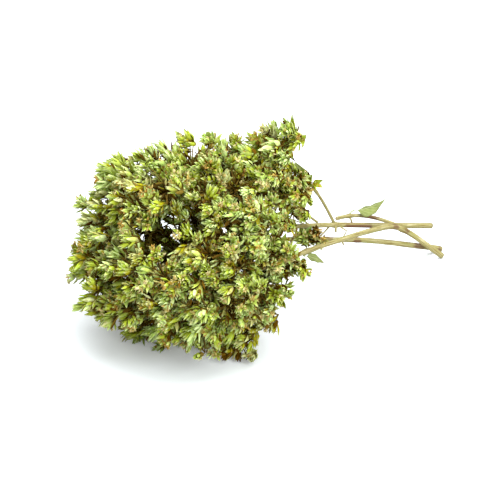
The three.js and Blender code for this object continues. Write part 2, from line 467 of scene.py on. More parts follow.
def walk(points, start, distance):
    """The point that lies a distance back along a line from one of its points, towards its first one."""
    index = start
    while index > 0:
        step = (points[index] - points[index - 1]).length
        if distance <= step:
            return points[index].lerp(points[index - 1], distance / step)
        distance -= step
        index -= 1
    return points[0]


def bud_point(points, centre, lean=0.6):
    """Where a flowering top's stalk leaves its stem: nearer the cut end, as side shoots lean forwards."""
    fine = smooth_path(points, 1 * MM)
    nearest = min(range(len(fine)), key=lambda i: (fine[i] - centre).length)
    return walk(fine, nearest, (fine[nearest] - centre).length * lean)


# ---------------------------------------------------------------- materials


class Nodes:
    """Adds linked nodes to a material's node tree."""

    def __init__(self, name, roughness, specular=0.3):
        self.material = bpy.data.materials.new(name)
        self.material.use_nodes = True
        self.tree = self.material.node_tree
        self.surface = self.tree.nodes["Principled BSDF"]
        self.surface.inputs["Roughness"].default_value = roughness
        self.surface.inputs["Specular IOR Level"].default_value = specular

    def add(self, kind, inputs=(), **settings):
        """A new node. inputs maps a socket's name or number to a value or to another node's output."""
        node = self.tree.nodes.new("ShaderNode" + kind)
        for name, value in settings.items():
            setattr(node, name, value)
        for key, value in dict(inputs).items():
            if isinstance(value, bpy.types.NodeSocket):
                self.tree.links.new(value, node.inputs[key])
            else:
                node.inputs[key].default_value = value
        return node

    def math(self, operation, a, b=0.0, clamp=False):
        return self.add("Math", {0: a, 1: b}, operation=operation, use_clamp=clamp).outputs[0]

    def vector(self, operation, a, b=(0, 0, 0)):
        return self.add("VectorMath", {0: a, 1: b}, operation=operation).outputs[0]

    def mix(self, share, a, b, blend="MIX"):
        """Colour a, with a share of colour b over it. Each is a node's output or a plain colour."""
        a, b = (c if isinstance(c, bpy.types.NodeSocket) else solid(c) for c in (a, b))
        node = self.add("Mix", {0: share, 6: a, 7: b}, data_type="RGBA", blend_type=blend)
        return node.outputs[2]

    def ramp(self, value, stops, interpolation="LINEAR"):
        """A colour ramp through (place, colour or grey) stops."""
        node = self.add("ValToRGB", {0: value})
        node.color_ramp.interpolation = interpolation
        marks = node.color_ramp.elements
        while len(marks) < len(stops):
            marks.new(1.0)
        for mark, (place, colour) in zip(marks, stops, strict=True):
            mark.position = place
            mark.color = solid(colour)
        return node.outputs[0]

    def noise(self, vector, scale, detail=2.0, dimensions="3D"):
        inputs = {"Vector": vector, "Scale": scale, "Detail": detail}
        return self.add("TexNoise", inputs, noise_dimensions=dimensions).outputs[0]

    def uv(self, name):
        return self.add("UVMap", uv_map=name).outputs[0]

    def attribute(self, name):
        return self.add("Attribute", attribute_name=name).outputs["Fac"]

    def relief(self, height, strength, distance):
        bump = self.add("Bump", {"Strength": strength, "Distance": distance, "Height": height})
        self.tree.links.new(bump.outputs[0], self.surface.inputs["Normal"])

    def finish(self, colour):
        self.tree.links.new(colour, self.surface.inputs["Base Color"])
        return self.material


def solid(colour):
    """A colour or a grey as four numbers."""
    if isinstance(colour, (int, float)):
        return (colour, colour, colour, 1.0)
    return (*colour, 1.0)


def top_material(colours):
    """The finish of bracts, dry petals and stalks, read from the tint map."""
    n = Nodes("dry_bracts_and_petals", roughness=0.75, specular=0.0)
    scaled = n.vector("MULTIPLY", n.uv(TINT_MAP), (CELLS, CELLS, 0))
    cell = n.vector("FLOOR", scaled)
    inside = n.vector("FRACTION", scaled)
    cell_axes = n.add("SeparateXYZ", {0: cell})
    row = cell_axes.outputs[1]
    pick = n.math("DIVIDE", cell_axes.outputs[0], CELLS - 1)
    axes = n.add("SeparateXYZ", {0: inside})
    across, along = axes.outputs[0], axes.outputs[1]

    shade = n.add("TexWhiteNoise", {"Vector": cell}, noise_dimensions="2D")
    petal = n.ramp(pick, [(0.1, colours.rust), (0.5, colours.ochre), (1.0, colours.cream)])
    dead = n.ramp(pick, [(0, colours.dark_brown), (0.5, colours.brown), (0.95, colours.tan)])
    greens = (colours.fresh, colours.mid, colours.grey, colours.olive, colours.straw, colours.brown)
    rows = [(k / CELLS, colour) for k, colour in enumerate((*greens, colours.ochre, colours.stalk))]
    row_place = n.math("DIVIDE", n.math("ADD", row, 0.5), CELLS)
    tissue = n.ramp(row_place, rows, "CONSTANT")
    is_petal = n.ramp(row_place, [(0, 0.0), (FLOWER / CELLS, 1.0), (STALK / CELLS, 0.0)], "CONSTANT")
    is_dead = n.ramp(row_place, [(0, 0.0), (BROWN / CELLS, 1.0), (FLOWER / CELLS, 0.0)], "CONSTANT")
    is_bract = n.ramp(row_place, [(0, 1.0), (BROWN / CELLS, 0.0)], "CONSTANT")
    tissue = n.mix(is_dead, n.mix(is_petal, tissue, petal), dead)

    # A bract is pale along its margins and midrib and paler at its point. This is partly its own colour and
    # partly painted highlight on the edges and tips that face the light. Its foot is withered, and that brown
    # is partly painted shade where the bracts overlap. The lightest bracts are paler all over, as a painted
    # highlight.
    off_middle = n.math("ABSOLUTE", n.math("SUBTRACT", across, 0.5))
    for measure, stops, tint in (
        (off_middle, [(0.0, 0.3), (0.04, 0.0), (0.34, 0.0), (0.43, 0.66)], colours.margin),
        (along, [(0.66, 0.0), (0.93, 0.75)], colours.point),
        (along, [(0.10, 0.94), (0.48, 0.0)], colours.foot),
        (shade.outputs["Value"], [(0.6, 0.0), (1.0, 0.5)], colours.margin),
    ):
        tissue = n.mix(n.math("MULTIPLY", n.ramp(measure, stops), is_bract), tissue, tint)

    # Fine veins and blotches, and a lighter or darker shade for each cell.
    stretched = n.vector("MULTIPLY", scaled, (9, 1.6, 1))
    veins = n.ramp(n.noise(stretched, 3.0, dimensions="2D"), [(0.3, 0.72), (0.7, 1.15)])
    tissue = n.mix(1.0, tissue, veins, "MULTIPLY")
    blotch = n.ramp(n.noise(scaled, 2.6, dimensions="2D"), [(0.60, 0.0), (0.75, 0.55)])
    tissue = n.mix(blotch, tissue, colours.blotch)
    light = n.math("ADD", n.math("MULTIPLY", shade.outputs["Value"], 0.5), 0.76)
    hue = n.math("ADD", n.math("MULTIPLY", shade.outputs["Color"], 0.03), 0.49)
    tissue = n.add("HueSaturation", {"Hue": hue, "Value": light, "Color": tissue}).outputs[0]
    return n.finish(tissue)


def stem_material(colours):
    """Straw with darker streaks along it, purple-brown patches, and pale pith at the cut ends."""
    n = Nodes("dry_straw_stem", roughness=0.6, specular=0.15)
    place = n.uv("along_stem")
    streak = n.noise(n.vector("MULTIPLY", place, (20, 0.9, 1)), 1.0, detail=4.0, dimensions="2D")
    wide_streak = n.noise(n.vector("MULTIPLY", place, (5, 0.3, 1)), 1.0, detail=3.0, dimensions="2D")
    shade, straw, pale = colours.stem_shade, colours.stem, colours.stem_pale
    colour = n.ramp(streak, [(0.34, shade), (0.45, straw), (0.53, straw), (0.66, pale)])
    colour = n.mix(n.ramp(wide_streak, [(0.52, 0.0), (0.68, 0.6)]), colour, colours.stem_green)
    worn = n.math("ADD", n.math("MULTIPLY", n.attribute("patch"), 0.4), n.math("MULTIPLY", wide_streak, 0.8))
    colour = n.mix(n.ramp(worn, [(0.58, 0.0), (0.84, 1.0)]), colour, colours.stem_patch)
    speck = n.noise(n.add("TexCoord").outputs["Object"], 900.0)
    colour = n.mix(n.ramp(speck, [(0.60, 0.0), (0.72, 0.6)]), colour, shade)
    colour = n.mix(n.math("MULTIPLY", n.attribute("knot"), 1.2, clamp=True), colour, colours.stem_knot)
    colour = n.mix(n.attribute("pith"), colour, colours.pith)
    n.relief(streak, strength=0.35, distance=0.1 * MM)
    return n.finish(colour)


def leaf_material(colours):
    """A dull green blade with a paler midrib and side veins."""
    n = Nodes("dry_leaf", roughness=0.7, specular=0.12)
    place = n.add("SeparateXYZ", {0: n.uv("blade")})
    across, along = place.outputs[0], place.outputs[1]
    off_middle = n.math("ABSOLUTE", n.math("SUBTRACT", across, 0.5))
    rib = n.ramp(off_middle, [(0.0, 1.0), (0.045, 0.0)])
    slanted = n.math("SUBTRACT", n.math("MULTIPLY", along, 7.0), n.math("MULTIPLY", off_middle, 5.0))
    to_vein = n.math("ABSOLUTE", n.math("SUBTRACT", n.math("FRACT", slanted), 0.5))
    side_veins = n.ramp(to_vein, [(0.0, 0.75), (0.1, 0.0)])
    vein = n.math("MAXIMUM", rib, side_veins)
    here = n.add("TexCoord").outputs["Object"]
    darker = [0.6 * v for v in colours.leaf]
    mottle = n.ramp(n.noise(here, 320.0, detail=4.0), [(0.35, 0.0), (0.7, 1.0)])
    dry_spots = n.ramp(n.noise(here, 130.0), [(0.58, 0.0), (0.72, 0.7)])
    blade = n.mix(dry_spots, n.mix(mottle, colours.leaf, darker), colours.stem_shade)
    n.relief(n.math("MULTIPLY", vein, -1.0), strength=0.5, distance=0.15 * MM)
    return n.finish(n.mix(vein, blade, colours.leaf_vein))


# ---------------------------------------------------------------- bracts and spikelets

# Bracts and small leaves: length and width as shares of a plain bract's, then cup, belly and curl as
# bract_mesh takes them, and the rows of faces along it.
BRACTS = {
    "plump": (1.2, 1.15, 0.36, 0.15, -0.06, 4),
    "broad": (1.25, 1.1, 0.32, 0.12, 0.02, 5),
    "pointed": (1.35, 1.05, 0.34, 0.12, -0.03, 4),
    "slim": (1.7, 0.8, 0.28, 0.06, 0.04, 4),
    "gaping": (1.0, 0.95, 0.28, 0.06, 0.28, 4),
    "faded": (1.0, 0.85, 0.22, 0.05, 0.22, 4),
    "folded leaf": (1.5, 1.2, 0.35, 0.12, 0.3, 4),
    "short leaf": (1.2, 0.9, 0.3, 0.1, 0.2, 4),
    "curled leaf": (1.6, 0.75, 0.25, -0.1, -0.2, 4),
    "leaflet": (1.5, 0.8, 0.2, 0.04, -0.1, 4),
}
# The variants of each kind of spikelet: its bracts, how many pairs, its length in mm, how far its lowest
# and highest bracts lean out in degrees, its width, and how many dry flowers it holds.
SPIKELETS = {
    "plump": [
        ("plump", 4, 7.4, (26, 6), 1.1, 0),
        ("plump", 4, 6.8, (28, 8), 1.15, 2),
        ("plump", 5, 8.2, (24, 6), 1.05, 0),
        ("plump", 4, 7.4, (28, 8), 1.1, 1),
    ],
    "broad": [
        ("broad", 3, 7.0, (36, 10), 1.0, 0),
        ("broad", 3, 7.6, (30, 10), 0.9, 1),
        ("broad", 3, 6.6, (42, 16), 1.0, 1),
    ],
    "regular": [
        ("pointed", 4, 8.4, (24, 5), 1.1, 0),
        ("pointed", 5, 9.4, (22, 5), 1.05, 0),
        ("pointed", 4, 8.0, (26, 8), 1.15, 1),
        ("pointed", 4, 8.6, (24, 6), 1.15, 1),
    ],
    "slender": [("slim", 5, 11.0, (22, 6), 1.1, 0), ("slim", 5, 10.2, (26, 8), 1.2, 0)],
    "open": [("gaping", 4, 6.4, (44, 16), 1.15, 4), ("gaping", 4, 7.0, (40, 14), 1.1, 3)],
    "spent": [("gaping", 3, 5.8, (54, 26), 1.0, 6), ("plump", 3, 5.6, (44, 26), 0.95, 5)],
    "withered": [("faded", 3, 5.6, (50, 25), 1.0, 1), ("faded", 4, 7.0, (44, 15), 0.8, 0)],
}
LEAF_STAMPS = {"dead leaf": ("folded leaf", "short leaf", "curled leaf"), "leaflet": ("leaflet",)}
PETALS = 4  # of a dry flower
FULL_TOP = 4500 * MM**3  # the volume of a CAD solid that gets every group of spikelets
FEWEST_GROUPS, FEWEST_LONE_GROUPS = 2, 6
GROUP_ANGLE, TWIG_ANGLE = math.radians(120), math.radians(125)  # how far from its axis a top branches
GROUP_LENGTH = (8.0, 10.0)  # from a fork to the tips of its spikelets, in mm
GROUP_SIZES = (2, 3, 3, 3, 4)
FAN = (0.16, 0.42)  # how far the spikelets of a group lean apart
TWIG_REACH = (0.4, 0.7)  # of a dead twig, as a share of its top's
LEAFY_LENGTH = 10 * MM  # the stretch of a dead twig that bears leaves
LEAF_SPACING = 1.9 * MM
LEAFLET_LOSS = 0.15  # the share of leaflets that has dropped
SPRIG_SPACING = 2.6 * MM
SPRIG_DEPTH = 0.7  # how deep in the mass a stalk must be to bear withered sprigs
WITHERED_TISSUES = (OLIVE, BROWN, BROWN)
DEAD_TISSUES = (OLIVE, BROWN, BROWN, BROWN)
MIXED_TISSUES = ((FRESH, MID, GREY, OLIVE, STRAW), (0.37, 0.34, 0.19, 0.07, 0.03))  # and their shares
USUAL_SHARE = 0.35  # of the spikelets that have their top's own tissue
ODD_BRACTS = 0.14  # the share of bracts that don't match their spikelet

# How deep in the mass bracts begin to wither and turn brown, from its middle at 0 to its outside at 1, and
# over how much of that they get fully brown. This brown is partly real withering and partly painted shade
# deep in the mass.
WITHER_AND_SHADE_FROM, WITHER_AND_SHADE_OVER = 0.88, 0.4
HOLLOW_DEPTH = 16 * MM
GAP_LEAST, GAP_MOST = 3 * MM, 16 * MM  # the room between two tops that a twig or a spikelet grows into
OPEN_ROOM = 30 * MM  # what counts as the room where nothing lies ahead


def bract_mesh(length, width, thickness, cup, belly, curl, along):
    """A bract that stands on its foot along +Z with its back to +Y: a sphere drawn out to a folded blade.

    cup turns its margins in, belly bows its back out, and curl bends its point out, or in if it is negative.
    """
    bm = bmesh.new()
    bmesh.ops.create_uvsphere(bm, u_segments=4, v_segments=along, radius=1.0)
    bmesh.ops.translate(bm, verts=bm.verts, vec=(0, 0, 1))
    layer = bm.loops.layers.uv.new(TINT_MAP)
    for edge in bm.edges:
        edge.smooth = any(abs(vert.co.y) > 0.01 for vert in edge.verts)
    for face in bm.faces:
        face.smooth = True
        for loop in face.loops:
            x, y, z = loop.vert.co
            loop[layer].uv = in_cell(0.5 + 0.42 * x + 0.06 * y, z / 2)
    for vert in bm.verts:
        x, y, share = vert.co.x, vert.co.y, vert.co.z / 2
        across = x * (1.15 - 0.8 * share * share)
        back = -cup * width * x * x + belly * length * math.sin(math.pi * share) + curl * length * share**3
        vert.co = (across * width / 2, y * thickness / 2 + back, share * length)
    return as_mesh(bm, "bract")


def spikelet_stamp(rng, tops, bract, petal, pairs, length, tilts, widths, flowers):
    """A spikelet that stands on its foot along +Z: pairs of bracts, each crossing the pair below.

    tilts are how far its lowest and its highest bracts lean out.
    """
    bm = bmesh.new()
    bract_length = max(vert.co.z for vert in bract.vertices)
    top_height = max(length - bract_length * 0.9, 0.5 * MM)
    loops = [len(bract.loops)] * pairs * 2 + [len(petal.loops)] * flowers * PETALS
    for k in range(pairs):
        share = k / (pairs - 1)
        size = 0.8 + 0.35 * math.sin(math.pi * min(share + 0.2, 1.0))
        for side in range(2):
            tilt = tilts[0] + (tilts[1] - tilts[0]) * share + rng.uniform(-0.16, 0.16)
            turn = math.pi * (0.5 * k + side) + rng.uniform(-0.3, 0.3)
            foot = Vector((0, 0.25 * MM, top_height * share + rng.uniform(-0.2, 0.2) * MM))
            stretch = size * rng.uniform(0.82, 1.15)
            scale = Matrix.Diagonal((size * widths * rng.uniform(0.85, 1.15), size, stretch, 1))
            twist = Matrix.Rotation(rng.uniform(-0.25, 0.25), 4, "Z")
            place = Matrix.Rotation(turn, 4, "Z") @ Matrix.Translation(foot) @ Matrix.Rotation(-tilt, 4, "X")
            add_copy(bm, bract, place @ twist @ scale)
    for _ in range(flowers):
        turn = rng.uniform(0, TURN)
        height = top_height * rng.uniform(0.5, 1.0) + bract_length * 0.5
        centre = Matrix.Rotation(turn, 4, "Z") @ Vector((0, rng.uniform(0.6, 1.5) * MM, height))
        for _ in range(PETALS):
            lean = Vector((rng.uniform(-1, 1), rng.uniform(-1, 1), rng.uniform(0.3, 1.2))).normalized()
            outward = (lean + Vector((centre.x, centre.y, 0)) / (1.5 * MM)).normalized()
            add_copy(bm, petal, stand(centre, outward, rng.uniform(0, 6.3), rng.uniform(0.7, 1.15)))
    # Drying has bent everything but the foot.
    shift = scatter(rng, 1.0)
    for vert in bm.verts:
        bend = noise.noise_vector(vert.co / (1.3 * MM) + shift)
        vert.co += bend * tops.crumple * min(1.0, vert.co.z / (2 * MM))
    return Stamp(as_mesh(bm, "spikelet"), length, loops, flowers * PETALS)


def spikelet_stamps(tops, rng):
    """The variants of every kind of spikelet and small leaf, by name."""
    thick = tops.bract_thickness
    bracts = {
        name: bract_mesh(tops.bract_length * long, tops.bract_width * wide, thick, *shape)
        for name, (long, wide, *shape) in BRACTS.items()
    }
    petal = bract_mesh(tops.petal_length, tops.petal_length * 0.5, thick * 0.7, 0.1, 0.1, -0.4, 3)
    stamps = {}
    for kind, variants in SPIKELETS.items():
        stamps[kind] = []
        for name, pairs, long, tilts, wide, flowers in variants:
            leans = [math.radians(tilt) for tilt in tilts]
            stamp = spikelet_stamp(rng, tops, bracts[name], petal, pairs, long * MM, leans, wide, flowers)
            stamps[kind].append(stamp)
    for kind, names in LEAF_STAMPS.items():
        stamps[kind] = []
        for name in names:
            leaf, length = bracts[name], tops.bract_length * BRACTS[name][0]
            stamps[kind].append(Stamp(leaf, length, [len(leaf.loops)], 0))
    return stamps


def tissue_of(rng, withered, usual):
    """The row of the tint map that most of a spikelet has. withered goes from 0 outside to 1 deep inside, and
    its brown is partly painted shade.
    """
    if rng.random() < withered * 0.8:
        return rng.choice(WITHERED_TISSUES)
    if rng.random() < USUAL_SHARE:
        return usual
    return rng.choices(*MIXED_TISSUES)[0]


def tint_shift(rng, stamp, tissue):
    """How far each corner of a spikelet moves on the tint map, so that each bract gets a shade."""
    bracts = len(stamp.loops) - stamp.petals
    petal_shade = rng.choice((1, 2, 4, 4))
    usual_column = rng.randrange(CELLS)
    cells = []
    for part in range(len(stamp.loops)):
        row, column = tissue, rng.choice((usual_column, usual_column, rng.randrange(CELLS)))
        if part >= bracts:
            row, column = FLOWER, petal_shade + rng.randrange(4)
        # The lowest pair is often brown: partly withered, and partly painted shade at the foot of the
        # spikelet.
        elif part < 2 and rng.random() < 0.6:
            row = rng.choice(WITHERED_TISSUES)
        elif rng.random() < ODD_BRACTS:
            row = rng.choice((FRESH, MID, OLIVE, STRAW)) if tissue != BROWN else OLIVE
        cells.append((column, row))
    return np.repeat(np.array(cells, np.float32) / CELLS, stamp.loops, axis=0)


def scatter(rng, amount):
    """A random offset in any direction."""
    return Vector([rng.gauss(0, amount) for _ in range(3)])


def sideways(rng, axis):
    """A random direction at right angles to an axis."""
    side = axis.orthogonal().normalized()
    side.rotate(Quaternion(axis, rng.uniform(0, TURN)))
    return side


def cap_directions(rng, axis, count, widest):
    """Directions spread evenly over a cap round an axis, out to the widest angle."""
    turn = axis.to_track_quat("Z", "Y")
    start = rng.uniform(0, TURN)
    for k in range(count):
        height = 1 - (1 - math.cos(widest)) * (k + 0.5) / count
        reach = math.sqrt(1 - height * height)
        angle = start + k * GOLDEN_ANGLE
        yield turn @ Vector((reach * math.cos(angle), reach * math.sin(angle), height))


class FloweringTop:
    """One flowering top, built inside its CAD solid."""

    def __init__(self, node, line, tops, stamps, mass, seed):
        self.tops, self.stamps, self.mass = tops, stamps, mass
        self.lone = node in LONE_TOPS
        self.share = REACHES.get(node, 1.0)
        self.dryness = DRYNESS.get(node, 0.0)
        self.rng = random.Random(seed)
        solid_bm = merged(node)
        self.centre, volume = middle_of(solid_bm)
        self.skin = BVHTree.FromBMesh(solid_bm)
        solid_bm.free()
        self.foot = bud_point(line, self.centre)
        self.axis = (self.centre - self.foot).normalized()
        self.radius = (0.75 * volume / math.pi) ** (1 / 3)
        fullness = min(1.0, (volume / FULL_TOP) ** 0.8)
        fewest = FEWEST_LONE_GROUPS if self.lone else FEWEST_GROUPS
        self.groups = max(fewest, round(tops.groups * fullness))
        self.hub = self.centre - self.axis * self.radius * 0.5
        self.usual = self.rng.choice((FRESH, FRESH, MID, MID, GREY))
        self.bm, self.stalks = bmesh.new(), bmesh.new()
        for bm in (self.bm, self.stalks):
            bm.loops.layers.uv.new(TINT_MAP)

    def reach(self, origin, direction):
        """How far it is from a point to the skin of the CAD solid."""
        hit = self.skin.ray_cast(origin, direction)[3]
        return hit if hit else self.radius

    def withered(self, place):
        """How brown a place gets, partly from withering and partly as painted shade: 0 on the outside of the
        flower mass, and 1 deep inside it and in its hollow.
        """
        if self.lone:
            return self.dryness
        centre, half = self.mass.centre, self.mass.half
        depth = Vector([(place[k] - centre[k]) / half[k] for k in range(3)]).length
        by_hollow = 1.6 - self.from_hollow(place) / self.tops.hollow
        return max(self.dryness, min(1.0, max((WITHER_AND_SHADE_FROM - depth) / WITHER_AND_SHADE_OVER, by_hollow)))

    def from_hollow(self, place):
        """How far a place is to the side of the hollow, which opens away from the middle of the mass."""
        a, b = self.mass.hollow
        way = ((a + b) / 2 - self.mass.centre).normalized()
        rise = (place - a).dot(way)
        if rise < -HOLLOW_DEPTH:
            return math.inf
        flat = place - way * rise
        share = max(0.0, min(1.0, (flat - a).dot(b - a) / (b - a).length_squared))
        return (flat - a.lerp(b, share)).length

    def growth(self, direction, place):
        """The way a spikelet grows: along its top and out of the whole mass, but never back into its top."""
        outwards = (place - self.mass.neck).normalized()
        onwards = (self.mass.centre - self.mass.neck).normalized()
        along = (self.axis + outwards + onwards * (0.2 + 0.2 * onwards.dot(self.axis))).normalized()
        way = (direction * (1 - self.tops.lean) + along * self.tops.lean).normalized()
        return (way + direction * max(0.0, 0.45 - way.dot(direction))).normalized()

    def build(self):
        rng = self.rng
        middle = self.foot.lerp(self.hub, 0.5) + scatter(rng, 0.5 * MM)
        points = smooth_path([self.foot, middle, self.hub], 4 * MM)
        self.add_stalk(points, [1 - 0.35 * k / (len(points) - 1) for k in range(len(points))], sides=6)

        origin = self.centre - self.axis * self.radius * 0.4
        slender = rng.uniform(0.0, 0.45)
        flowery = rng.uniform(0.1, 0.7)
        for direction in cap_directions(rng, self.axis, self.groups, GROUP_ANGLE):
            self.add_group(origin, (direction + scatter(rng, 0.1)).normalized(), slender, flowery)
        twigs = round(self.tops.dead_twigs * self.groups / self.tops.groups) if not self.lone else 0
        for direction in cap_directions(rng, -self.axis, twigs, TWIG_ANGLE):
            tip = self.centre + direction * self.reach(self.centre, direction) * rng.uniform(*TWIG_REACH)
            if self.from_hollow(tip) > self.tops.hollow * 0.7:
                self.add_dead_twig(self.hub, tip)
        self.fill_gaps()
        self.add_side_sprigs(points)

        joined = as_mesh(self.stalks, "stalks")
        for face in joined.polygons:
            face.use_smooth = True
        self.bm.from_mesh(joined)
        bpy.data.meshes.remove(joined)
        keep_above_table(self.bm)
        return self.bm

    def add_stamp(self, stamp, place, tissue):
        """Adds a spikelet or a small leaf, with a shade for each of its bracts."""
        add_copy(self.bm, stamp.mesh, place, tint_shift(self.rng, stamp, tissue))

    def add_stalk(self, points, widths, sides=4):
        """A thin stalk with its own cell of the tint map. widths are shares of the main stalk's."""
        radii = [self.tops.stalk_radius * width for width in widths]
        rings = tube(self.stalks, points, radii, sides)
        layer = self.stalks.loops.layers.uv[TINT_MAP]
        column = self.rng.randrange(CELLS)
        last = len(rings) - 1
        wrap_tube(rings, layer, lambda turn, ring: in_cell(turn, ring / last, column, STALK))
        ends = [face for ring in (rings[0], rings[-1]) for face in ring[0].link_faces]
        for face in ends:
            if len(face.verts) == sides:
                for k, loop in enumerate(face.loops):
                    angle = TURN * k / sides
                    place = (0.5 + 0.3 * math.cos(angle), 0.5 + 0.3 * math.sin(angle))
                    loop[layer].uv = in_cell(*place, column, STALK)

    def add_group(self, origin, direction, slender, flowery):
        """A few spikelets that fan out from one fork, with their tips near the skin of the top."""
        rng = self.rng
        reach = self.reach(origin, direction)
        outwards = direction.dot((origin + direction * reach - self.mass.neck).normalized())
        spread = self.tops.spread + min(0.06, 0.22 * (outwards - 0.3))
        end = origin + direction * reach * self.share * spread
        withered = self.withered(end)
        # In the hollow a brown dead twig stands in for a group, partly as painted shade.
        if self.from_hollow(end) < self.tops.hollow:
            self.add_dead_twig(self.hub, self.hub.lerp(end, 0.55))
            return
        ahead = (self.growth(direction, end) + scatter(rng, self.tops.wander)).normalized()
        length = rng.uniform(*GROUP_LENGTH) * MM
        fork = end - ahead * length
        step = self.axis * 0.5 * MM
        self.add_stalk([self.hub - step, self.hub.lerp(fork, 0.5) + step, fork], (0.62, 0.55, 0.5), sides=5)
        self.add_leaflets(fork, ahead)
        tissue = tissue_of(rng, withered, self.usual)
        side = ahead.orthogonal().normalized()
        count = rng.choice(GROUP_SIZES)
        start = rng.uniform(0, TURN)
        for k in range(count):
            side_way = Quaternion(ahead, start + TURN * k / count) @ side
            heading = (ahead + side_way * rng.uniform(*FAN) + scatter(rng, 0.07)).normalized()
            if rng.random() < 0.3:
                tissue = tissue_of(rng, withered, self.usual)
            tip = fork + heading * length * rng.uniform(0.9, 1.15)
            self.add_spikelet(fork, tip, heading, self.pick_kind(slender, flowery), tissue)

    def add_dead_twig(self, start, tip):
        """A thin twig with withered leaves along it."""
        rng = self.rng
        start, tip = above_table(start), above_table(tip)
        way = tip - start
        heading = way.normalized()
        side = heading.orthogonal().normalized()
        knee = start.lerp(tip, 0.5) + scatter(rng, 0.06 * way.length)
        self.add_stalk([start, knee, tip], (0.6, 0.5, 0.35))
        turn = rng.uniform(0, TURN)
        leafy = min(way.length, LEAFY_LENGTH)
        count = max(2, round(leafy / LEAF_SPACING))
        for k in range(count):
            joint = tip - heading * leafy * (k + 0.5) / count
            turn += GOLDEN_ANGLE
            out = Quaternion(heading, turn) @ side
            leaf_way = (heading + out * rng.uniform(0.3, 1.4)).normalized()
            stamp = rng.choice(self.stamps["dead leaf"])
            tissue = rng.choice(DEAD_TISSUES)
            place = stand(joint, leaf_way, rng.uniform(0, TURN), rng.uniform(0.5, 0.88))
            self.add_stamp(stamp, place, tissue)

    def fill_gaps(self):
        """Dead twigs and single spikelets that reach into the gaps between this top and the next ones."""
        rng = self.rng
        rays = 0 if self.lone else self.tops.gap_rays
        for direction in cap_directions(rng, self.axis, rays, math.pi):
            start = self.centre + direction * (self.reach(self.centre, direction) + 0.5 * MM)
            open_room = OPEN_ROOM if self.withered(start) > 0.5 else 0.0
            room = self.mass.skin.ray_cast(start, direction)[3] or open_room
            end = start + direction * min(room * 0.55, rng.uniform(5, 9) * MM)
            if room < GAP_LEAST or self.from_hollow(end) < self.tops.hollow * 1.3:
                continue
            withered = self.withered(end)
            # Deep in the mass the gaps get brown dead twigs, partly as painted shade.
            if withered > 0.3:
                self.add_dead_twig(start.lerp(self.centre, 0.3), end)
            elif room < GAP_MOST:
                heading = (direction * 0.6 + self.growth(direction, end)).normalized()
                tissue = tissue_of(rng, withered, self.usual)
                self.add_spikelet(start.lerp(self.centre, 0.4), end, heading, "regular", tissue)

    def add_spikelet(self, fork, tip, heading, kind, tissue):
        """A spikelet that ends at tip, on a stalk of its own from a fork."""
        rng = self.rng
        stamp = rng.choice(self.stamps[kind])
        size = rng.uniform(0.85, 1.15)
        tip, fork = above_table(tip), above_table(fork)
        heading = (tip - above_table(tip - heading * stamp.length * size)).normalized()
        base = tip - heading * stamp.length * size
        self.add_stamp(stamp, stand(base, heading, rng.uniform(0, TURN), size), tissue)
        knee = fork.lerp(base, 0.6) + scatter(rng, 0.15 * MM)
        self.add_stalk([fork, knee, base + heading * stamp.length * 0.25], (0.5, 0.42, 0.36))

    def add_side_sprigs(self, stalk):
        """Withered sprigs along the stretch of the main stalk that lies deep inside the flower mass."""
        rng = self.rng
        count = int((stalk[-1] - stalk[0]).length / SPRIG_SPACING)
        for k in range(count):
            share = (k + rng.uniform(0.3, 0.9)) / count
            joint = stalk[min(len(stalk) - 1, int(share * len(stalk)))]
            # Brown sprigs go only deep in the mass, where they are partly painted shade.
            if self.withered(joint) < SPRIG_DEPTH:
                continue
            heading = (self.axis * 0.7 + sideways(rng, self.axis) * rng.uniform(0.6, 1.3)).normalized()
            if k % 2:
                tip = joint + heading * rng.uniform(7, 11) * MM
                self.add_spikelet(joint, tip, heading, "withered", rng.choice(DEAD_TISSUES))
            else:
                self.add_dead_twig(joint, joint + heading * rng.uniform(5, 9) * MM)

    def add_leaflets(self, joint, ahead):
        """A pair of narrow leaves under a fork of the stalk, either of which may have dropped."""
        rng = self.rng
        side = sideways(rng, ahead)
        for way in (-1, 1):
            if rng.random() < LEAFLET_LOSS:
                continue
            heading = (ahead * 0.8 + side * way * rng.uniform(0.4, 1.0)).normalized()
            tissue = rng.choice((MID, MID, GREY, GREY, OLIVE))
            place = stand(above_table(joint), heading, rng.uniform(-0.5, 0.5), rng.uniform(0.6, 1.0))
            self.add_stamp(self.stamps["leaflet"][0], place, tissue)

    def pick_kind(self, slender, flowery):
        """A kind of spikelet, from how many of the top's are slender and how many of the rest flowered."""
        rest = 1 - slender
        weights = {
            "slender": slender,
            "open": rest * flowery * 0.7,
            "spent": rest * flowery * 0.4,
            "plump": rest * 0.35,
            "broad": rest * 0.1,
            "regular": rest * 0.5,
        }
        return self.rng.choices(list(weights), list(weights.values()))[0]


# ---------------------------------------------------------------- operators

STEM_SIDES, TWIG_SIDES, PETIOLE_SIDES = 12, 6, 6
KNOT_LENGTH = 1.5 * MM  # how far the swelling of a knot reaches along a stem
PATCH_EDGE = 2 * MM  # the stretch over which a purple-brown patch fades out
STAMP_SEED = 7
NOISE_SEED = 1  # without it, the crumpling of the bracts would differ from run to run

# A leaf: the faces across and along it, how much of its length is a narrow foot, and how far it stands
# below the middle of its CAD solid, as a share of its half width.
LEAF_FACES = (12, 26)
LEAF_FOOT = 0.16
LEAF_SINK = 0.05
LEAF_DROOP = 0.35  # how far the foot and the tip hang down, in the same way

# From the middle of the CAD box to the point that the view is centred on.
VIEW_SHIFT = Vector((-13.8, 2.6, -6.7)) * MM
# The ways to the two lamps, as shares of right, towards the camera and up.
KEY_WAY, FILL_WAY = (0.06, 0.1, 0.98), (0.4, 0.7, 0.5)
FILL_DISTANCE = 1.0
TABLE_SIZE = 3.0


